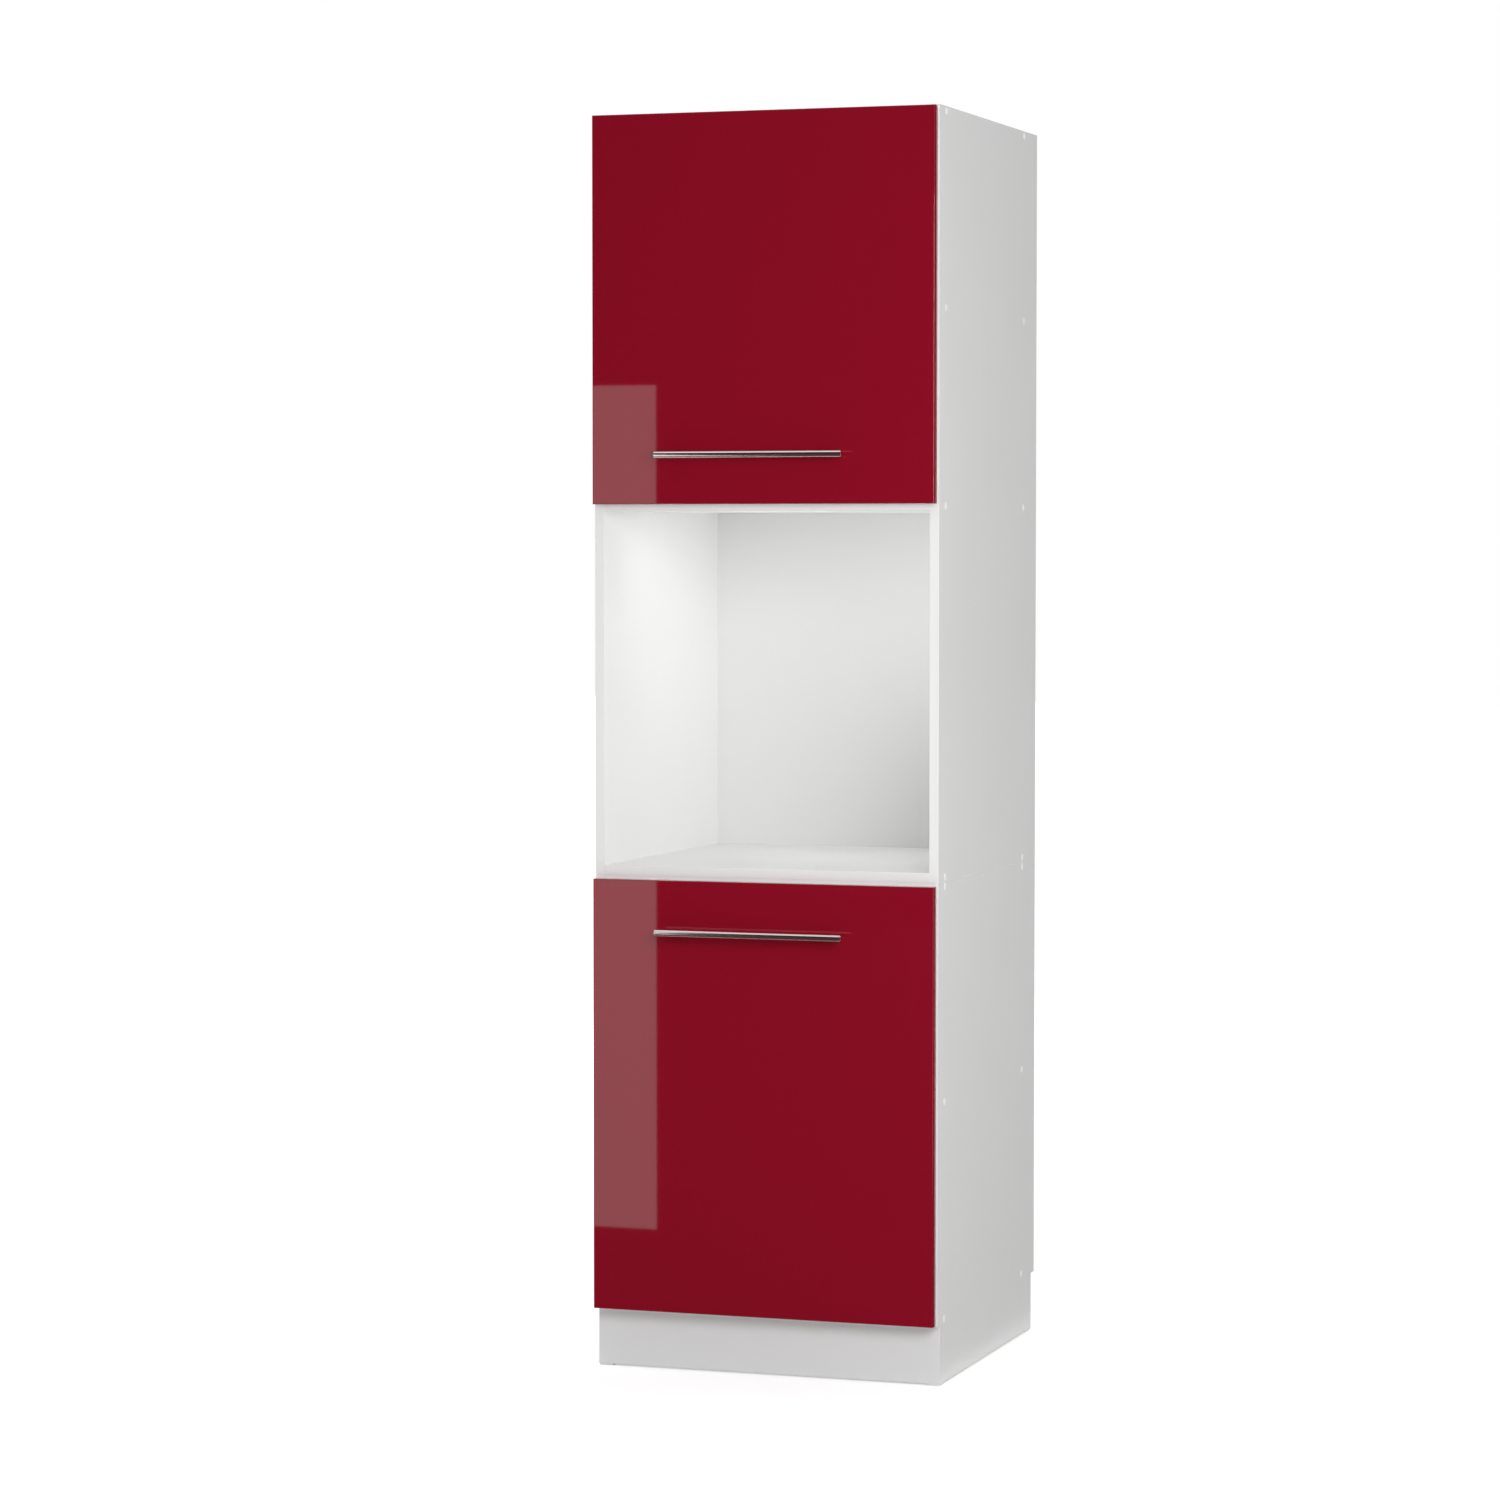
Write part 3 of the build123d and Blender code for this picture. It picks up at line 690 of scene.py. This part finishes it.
def push_cross(shape, half, reach, depth):
    """Pushes the cells of the cross into the head; the floor is a little smaller than the mouth."""
    cross = [face for face in shape.faces if in_cross(face.calc_center_median(), half, reach)]
    floor = verts_in(bmesh.ops.extrude_face_region(shape, geom=cross)["geom"])
    bmesh.ops.delete(shape, geom=cross, context="FACES_ONLY")
    bmesh.ops.translate(shape, verts=floor, vec=(0, 0, -depth))
    bmesh.ops.scale(shape, verts=floor, vec=(CROSS_TAPER, CROSS_TAPER, 1))


def in_cross(spot, half, reach):
    x = abs(spot.x)
    y = abs(spot.y)
    return min(x, y) < half and max(x, y) < reach


def on_top_rim(edge, head_r):
    return all(vert.co.z == 0 and vert.co.xy.length > head_r * 0.99 for vert in edge.verts)


def pull(shape, edges, drop, scale):
    """Extrudes a loop of edges, moves it along Z and scales it; returns the new loop."""
    made = bmesh.ops.extrude_edge_only(shape, edges=edges)["geom"]
    verts = verts_in(made)
    bmesh.ops.translate(shape, verts=verts, vec=(0, 0, drop))
    bmesh.ops.scale(shape, verts=verts, vec=(scale, scale, 1))
    return [item for item in made if isinstance(item, bmesh.types.BMEdge)]


# %% [markdown]
# Each kind of screw looks another way: plate and arm screws face into the cupboard, cup and handle
# screws face the carcass when the door is shut. A table gives, for each kind, the axis, the side of its
# box where the head lies, the height of the head and the shank's share of its radius. The head's radius
# and the screw's length are read from the box.

# %% Replace the fitting screws
SCREW_KINDS = {
    "plate_screws": {"axis": 0, "side": -1, "head": 2.0 * MM, "shank": 0.6, "sunk": False},
    "arm_screws": {"axis": 0, "side": -1, "head": 1.0 * MM, "shank": 0.55, "sunk": False},
    "cup_screws": {"axis": 1, "side": 1, "head": 1.8 * MM, "shank": 0.5, "sunk": True},
    "handle_screws": {"axis": 1, "side": 1, "head": 1.6 * MM, "shank": 0.5, "sunk": False},
}


def screw_set(node_name, axis, side, head, shank, sunk):
    shape = bmesh.new()
    outward = [0, 0, 0]
    outward[axis] = side
    for low, high in solid_boxes(node_name):
        head_r = (high.z - low.z) / 2
        length = high[axis] - low[axis] - head
        top = (low + high) / 2
        top[axis] = high[axis] if side > 0 else low[axis]
        template = screw_template(head_r, head, head_r * shank, length, sunk)
        stamp(shape, template, Matrix.Translation(top) @ facing(outward))
    finished_piece(f"{node_name}_crosshead", shape, zinc, node_name)


for door in DOORS:
    for ending, kind in SCREW_KINDS.items():
        screw_set(f"{door}_{ending}", **kind)

# %% [markdown]
# ## Riveted hinge pins
#
# The pins of a cup hinge are riveted over, so their ends are low domes. Each starts as a cylinder, and
# a bevel of several segments on its two end rims rounds it. The rims are the edges of the two end caps,
# which are the only faces with more than four corners.

# %% Replace the hinge pins
PIN_SIDES = 24
PIN_ROUND = 0.4


def pin_template(radius, length):
    """A pin along Z, with its middle at the origin and both ends rounded."""
    pin = bmesh.new()
    size = {"radius1": radius, "radius2": radius, "depth": length}
    bmesh.ops.create_cone(pin, cap_ends=True, segments=PIN_SIDES, **size)
    rims = [edge for edge in pin.edges if any(len(face.verts) > 4 for face in edge.link_faces)]
    bmesh.ops.bevel(pin, geom=rims, offset=radius * PIN_ROUND, segments=4, **BEVEL)
    return template_of(pin)


def pin_set(node_name):
    shape = bmesh.new()
    for low, high in solid_boxes(node_name):
        template = pin_template((high.x - low.x) / 2, high.z - low.z)
        stamp(shape, template, Matrix.Translation((low + high) / 2))
    finished_piece(f"{node_name}_riveted", shape, pin_metal, node_name)


for door in DOORS:
    for ending in ("cup_pins", "arm_pins"):
        pin_set(f"{door}_{ending}")

# %% [markdown]
# ## Screw caps and door buffers
#
# A round cap hides each carcass screw. From the side the caps are the only marks on the white board,
# and they show because a cap is a shallow dome: its front half turns towards the light and its rear
# half away from it. The top of a large sphere, cut off and set on a short wall, gives that shape, and
# the soft door buffers are made the same way. The caps' plastic is also painted whiter than the board,
# partly as a painted highlight that makes them stand out.

# %% Replace the caps and buffers
CAP_WALL = 0.3
DOME_SIDES = 32
DOME_RINGS = 96
UPWARDS = (0, 0, 1)


def dome_template(radius, height):
    """The top of a large sphere on a short wall, standing along +Z from the middle of its base."""
    wall = height * CAP_WALL
    rise = height - wall
    ball_r = (radius**2 + rise**2) / (2 * rise)
    ball = bmesh.new()
    bmesh.ops.create_uvsphere(ball, u_segments=DOME_SIDES, v_segments=DOME_RINGS, radius=ball_r)
    bmesh.ops.translate(ball, verts=ball.verts, vec=(0, 0, height - ball_r))
    cut = {"plane_co": (0, 0, wall), "plane_no": UPWARDS, "clear_inner": True}
    everything = ball.verts[:] + ball.edges[:] + ball.faces[:]
    bmesh.ops.bisect_plane(ball, geom=everything, dist=SAME_SPOT, **cut)
    rim = [edge for edge in ball.edges if edge.is_boundary]
    foot = pull(ball, rim, -wall, 1.0)
    bmesh.ops.holes_fill(ball, edges=foot, sides=0)
    return template_of(ball)


def button_set(node_name, axis, finish, label):
    """Domes along X face away from the unit's middle; domes along Y face the carcass."""
    shape = bmesh.new()
    for low, high in solid_boxes(node_name):
        outward = [0, 0, 0]
        outward[axis] = math.copysign(1, low.x) if axis == 0 else 1
        foot = (low + high) / 2
        foot[axis] = low[axis] if outward[axis] > 0 else high[axis]
        template = dome_template((high.z - low.z) / 2, high[axis] - low[axis])
        stamp(shape, template, Matrix.Translation(foot) @ facing(outward))
    finished_piece(f"{node_name}_{label}", shape, finish, node_name)


button_set("cover_caps", 0, cap_plastic, "domed")
for door in DOORS:
    button_set(f"{door}_door_buffers", 1, buffer_plastic, "soft")

# %% [markdown]
# ## Floor
#
# The unit stands on a plain white floor. Its own colour is a pale grey that takes the unit's shadow,
# and a glow that only the camera and the reflections see lifts it to white. The glow is weaker near the
# unit, so the shadow stays visible there.

# %% Floor
FLOOR_SIZE = 60.0
FLOOR_WHITE = 0.70
FLOOR_LIFT = 0.48
FLOOR_FADE = (1.2, 3.0)
SEEN_RAYS = ("Is Camera Ray", "Is Glossy Ray", "Is Transmission Ray")


def stage_piece(name, shape, material):
    mesh = bpy.data.meshes.new(name)
    shape.to_mesh(mesh)
    shape.free()
    piece = bpy.data.objects.new(name, mesh)
    bpy.context.scene.collection.objects.link(piece)
    mesh.materials.append(material)
    return piece


def sheet_shape(matrix):
    shape = bmesh.new()
    bmesh.ops.create_grid(shape, x_segments=1, y_segments=1, size=0.5, matrix=matrix)
    return shape


def floor_material():
    matt = {"Roughness": 0.9, "Specular_IOR_Level": 0.0}
    finish = Finish("studio_floor", Base_Color=(FLOOR_WHITE,) * 3, **matt)
    length = {"operation": "LENGTH"}
    away = finish.node("ShaderNodeVectorMath", length, {0: finish.place()}, output="Value")
    ends = {"From Min": FLOOR_FADE[0], "From Max": FLOOR_FADE[1], "To Min": FLOOR_LIFT, "To Max": 1.0}
    smooth = {"interpolation_type": "SMOOTHSTEP"}
    fade = finish.node("ShaderNodeMapRange", smooth, {"Value": away, **ends})
    camera_ray, glossy_ray, clear_ray = [
        finish.node("ShaderNodeLightPath", output=ray) for ray in SEEN_RAYS
    ]
    seen = camera_ray.either(glossy_ray).either(clear_ray)
    glow = finish.mix(seen * fade, (0, 0, 0), (1, 1, 1))
    return finish.set(Emission_Color=glow, Emission_Strength=1.0).material


floor_place = Matrix.Diagonal((FLOOR_SIZE, FLOOR_SIZE, 1, 1))
stage_piece("studio_floor", sheet_shape(floor_place), floor_material())
print("floor:", FLOOR_SIZE, "metres square")

# %% [markdown]
# ## Screens for the reflections
#
# A gloss door and a steel bar mirror whatever stands round them, and in a studio that is chosen with
# care. Dark brown carpets, and a round screen of the same brown, keep the red deep. The screen ends
# high up, so a bar shows the white above it as one bright line and is warm and dark below that line. A
# narrow pale panel gives the tall soft streak at the left, and a small bright panel at the right lights
# the rounded edge of the upper door. The screen and carpet behind the unit darken the doors' right side
# faces. All of them show only in reflections, so they neither light the unit nor hide it.

# %% Helpers for mirrored sheets
BROWN = (1.0, 0.66, 0.64)
NEUTRAL = (1.0, 1.0, 1.0)


def glow_material(name, strength, tint):
    glow = Finish(name)
    lamp = glow.node("ShaderNodeEmission", {}, {"Color": tint, "Strength": strength})
    glow.tree.links.new(lamp.socket, glow.tree.nodes["Material Output"].inputs["Surface"])
    return glow.material


def only_in_reflections(piece):
    piece.visible_camera = False
    piece.visible_diffuse = False
    piece.visible_shadow = False
    piece.visible_transmission = False


def mirrored_sheet(name, low, high, glow, tint):
    """A flat sheet between two opposite corners: level, or upright from its left end to its right."""
    low = Vector(low)
    high = Vector(high)
    span = high - low
    turn = Matrix.Identity(4)
    size = (span.x, span.y, 1, 1)
    if span.z:
        along = Vector((span.x, span.y, 0))
        upright = Matrix.Rotation(math.pi / 2, 4, "X")
        turn = Matrix.Rotation(math.atan2(span.y, span.x), 4, "Z") @ upright
        size = (along.length, span.z, 1, 1)
    place = Matrix.Translation((low + high) / 2) @ turn @ Matrix.Diagonal(size)
    only_in_reflections(stage_piece(name, sheet_shape(place), glow_material(name, glow, tint)))
    print(name, "measures", [round(side, 3) for side in size[:2]])


# %% [markdown]
# The table holds the flat sheets. The carpets lie a millimetre over the floor, and the near one, which
# a door's foot mirrors, is a little paler than the rest.

# %% Carpets and panels
CARPET_Z = 0.001
CARPET_HALF = 9.0
CARPET_FAR_Y = -9.93
CARPET_JOIN_Y = -0.83
CARPET_NEAR_Y = -0.33
PALE_PANEL_Y = -1.492
REAR_SCREEN_Y = 2.5
MIRRORED = {
    "dark_carpet": {
        "low": (-CARPET_HALF, CARPET_FAR_Y, CARPET_Z),
        "high": (CARPET_HALF, CARPET_JOIN_Y, CARPET_Z),
        "glow": 0.06,
        "tint": BROWN,
    },
    "near_carpet": {
        "low": (-CARPET_HALF, CARPET_JOIN_Y, CARPET_Z),
        "high": (CARPET_HALF, CARPET_NEAR_Y, CARPET_Z),
        "glow": 0.13,
        "tint": BROWN,
    },
    "pale_panel": {
        "low": (-0.98, PALE_PANEL_Y, 0.043),
        "high": (-0.6225, PALE_PANEL_Y, 1.694),
        "glow": 1.6,
        "tint": NEUTRAL,
    },
    "edge_panel": {
        "low": (2.2, -2.4, 1.1),
        "high": (2.9, -1.4, 2.17),
        "glow": 9.0,
        "tint": NEUTRAL,
    },
    "rear_screen": {
        "low": (0.35, REAR_SCREEN_Y, 0.0),
        "high": (2.4, REAR_SCREEN_Y, 3.2),
        "glow": 0.02,
        "tint": NEUTRAL,
    },
    "rear_carpet": {
        "low": (0.34, -0.25, CARPET_Z),
        "high": (2.4, REAR_SCREEN_Y, CARPET_Z),
        "glow": 0.02,
        "tint": NEUTRAL,
    },
}
for name, sheet in MIRRORED.items():
    mirrored_sheet(name, **sheet)

# %% [markdown]
# The screen in front is half a round wall: a circle pulled up, with the half behind the front edges of
# the boards cut away.

# %% Round screen
SCREEN_R = 9.0
SCREEN_H = 10.0
SCREEN_SIDES = 64
SCREEN_GLOW = 0.045


def screen_shape():
    wall = bmesh.new()
    bmesh.ops.create_circle(wall, segments=SCREEN_SIDES, radius=SCREEN_R)
    raised = verts_in(bmesh.ops.extrude_edge_only(wall, edges=wall.edges[:])["geom"])
    bmesh.ops.translate(wall, verts=raised, vec=(0, 0, SCREEN_H))
    cut = {"plane_co": (0, FRONT, 0), "plane_no": (0, 1, 0), "clear_outer": True}
    everything = wall.verts[:] + wall.edges[:] + wall.faces[:]
    bmesh.ops.bisect_plane(wall, geom=everything, **cut)
    return wall


screen_glow = glow_material("dark_screen", SCREEN_GLOW, BROWN)
only_in_reflections(stage_piece("dark_screen", screen_shape(), screen_glow))
print("round screen:", SCREEN_R, "metres from the unit's middle and", SCREEN_H, "metres high")

# %% [markdown]
# ## Light
#
# The world fills in from all round at a plain level, and shows as pure white where the camera or a
# reflection looks past the floor. The three kinds of ray that see it are joined by taking the largest.

# %% World
FILL = 0.50
world = bpy.data.worlds.new("studio_world")
bpy.context.scene.world = world
world.use_nodes = True
tree = world.node_tree
background = tree.nodes["Background"]
rays = tree.nodes.new("ShaderNodeLightPath")
seen = rays.outputs[SEEN_RAYS[0]]
for ray in SEEN_RAYS[1:]:
    either = tree.nodes.new("ShaderNodeMath")
    either.operation = "MAXIMUM"
    tree.links.new(seen, either.inputs[0])
    tree.links.new(rays.outputs[ray], either.inputs[1])
    seen = either.outputs[0]
level = tree.nodes.new("ShaderNodeMapRange")
level.inputs["To Min"].default_value = FILL
level.inputs["To Max"].default_value = 1.0
tree.links.new(seen, level.inputs["Value"])
tree.links.new(level.outputs[0], background.inputs["Strength"])
background.inputs["Color"].default_value = (1, 1, 1, 1)
print("world level:", FILL)

# %% [markdown]
# Soft lamps model the forms. The key stands to the right of the front, a little higher than the oven
# bay, so it reaches the bay's left wall and back and leaves the right side of the unit a little darker
# than its front. Three faint lamps inside the bay lift the corners that the key doesn't reach, and wide
# ones above, behind and on both sides keep the other faces from falling dark. The camera and the
# reflections see none of the lamps.

# %% Lamps
UNIT_MIDDLE = (0, 0, 1.1)
LAMPS = {
    "key_lamp": {"spot": (1.6, -2.6, 1.62), "aim": UNIT_MIDDLE, "size": 1.2, "power": 44.0},
    "side_lamp": {"spot": (5.0, 0.0, 1.6), "aim": UNIT_MIDDLE, "size": 3.0, "power": 24.0},
    "bay_side_lamp": {
        "spot": (0.26, 0.0, 1.15),
        "aim": (-0.28, 0.0, 1.10),
        "size": 0.5,
        "power": 0.26,
    },
    "bay_top_lamp": {
        "spot": (-0.02, -0.21, 1.37),
        "aim": (-0.02, 0.30, 1.37),
        "size": 0.20,
        "height": 0.06,
        "power": 0.18,
    },
    "bay_rear_lamp": {
        "spot": (0.275, 0.10, 1.25),
        "aim": (-0.28, 0.10, 1.25),
        "size": 0.3,
        "power": 0.46,
    },
    "top_lamp": {"spot": (0.0, 0.4, 4.6), "aim": UNIT_MIDDLE, "size": 2.5, "power": 30.0},
    "left_lamp": {"spot": (-4.5, 0.0, 2.2), "aim": UNIT_MIDDLE, "size": 2.5, "power": 50.0},
    "rear_lamp": {"spot": (-0.6, 5.0, 2.0), "aim": UNIT_MIDDLE, "size": 2.5, "power": 80.0},
}


def soft_lamp(name, spot, aim, size, power, height=None):
    """A glowing square, or a strip if it has a height of its own; sizes in metres, power in watts."""
    data = bpy.data.lights.new(name, "AREA")
    data.shape = "RECTANGLE"
    data.size = size
    data.size_y = height or size
    data.energy = power
    lamp = bpy.data.objects.new(name, data)
    bpy.context.scene.collection.objects.link(lamp)
    lamp.location = spot
    lamp.rotation_euler = (Vector(aim) - Vector(spot)).to_track_quat("-Z", "Y").to_euler()
    lamp.visible_glossy = False
    lamp.visible_camera = False


for name, lamp in LAMPS.items():
    soft_lamp(name, **lamp)
print("lamps:", list(LAMPS))

# %% [markdown]
# ## Camera
#
# The camera stands to the right of the unit, at chest height, and uses a long lens. Its place, lens and
# turn were worked out from the unit's edges, so the render and the photograph can be laid over each
# other. The lens is not shifted, because a shift would push the unit out of every other view.

# %% Camera
CAMERA_SPOT = (2.366, -7.270, 1.3925)
CAMERA_TURN = math.radians(18.87)
CAMERA_TILT = math.radians(-2.687)
LENS_MM = 107.19
SENSOR_MM = 36.0

camera_data = bpy.data.cameras.new("camera")
camera_data.lens = LENS_MM
camera_data.sensor_width = SENSOR_MM
camera = bpy.data.objects.new("camera", camera_data)
bpy.context.scene.collection.objects.link(camera)
camera.location = CAMERA_SPOT
camera.rotation_euler = (math.pi / 2 + CAMERA_TILT, 0, CAMERA_TURN)
bpy.context.scene.camera = camera
bpy.context.scene.view_settings.view_transform = "Standard"
print("camera:", CAMERA_SPOT, "lens", LENS_MM, "mm")
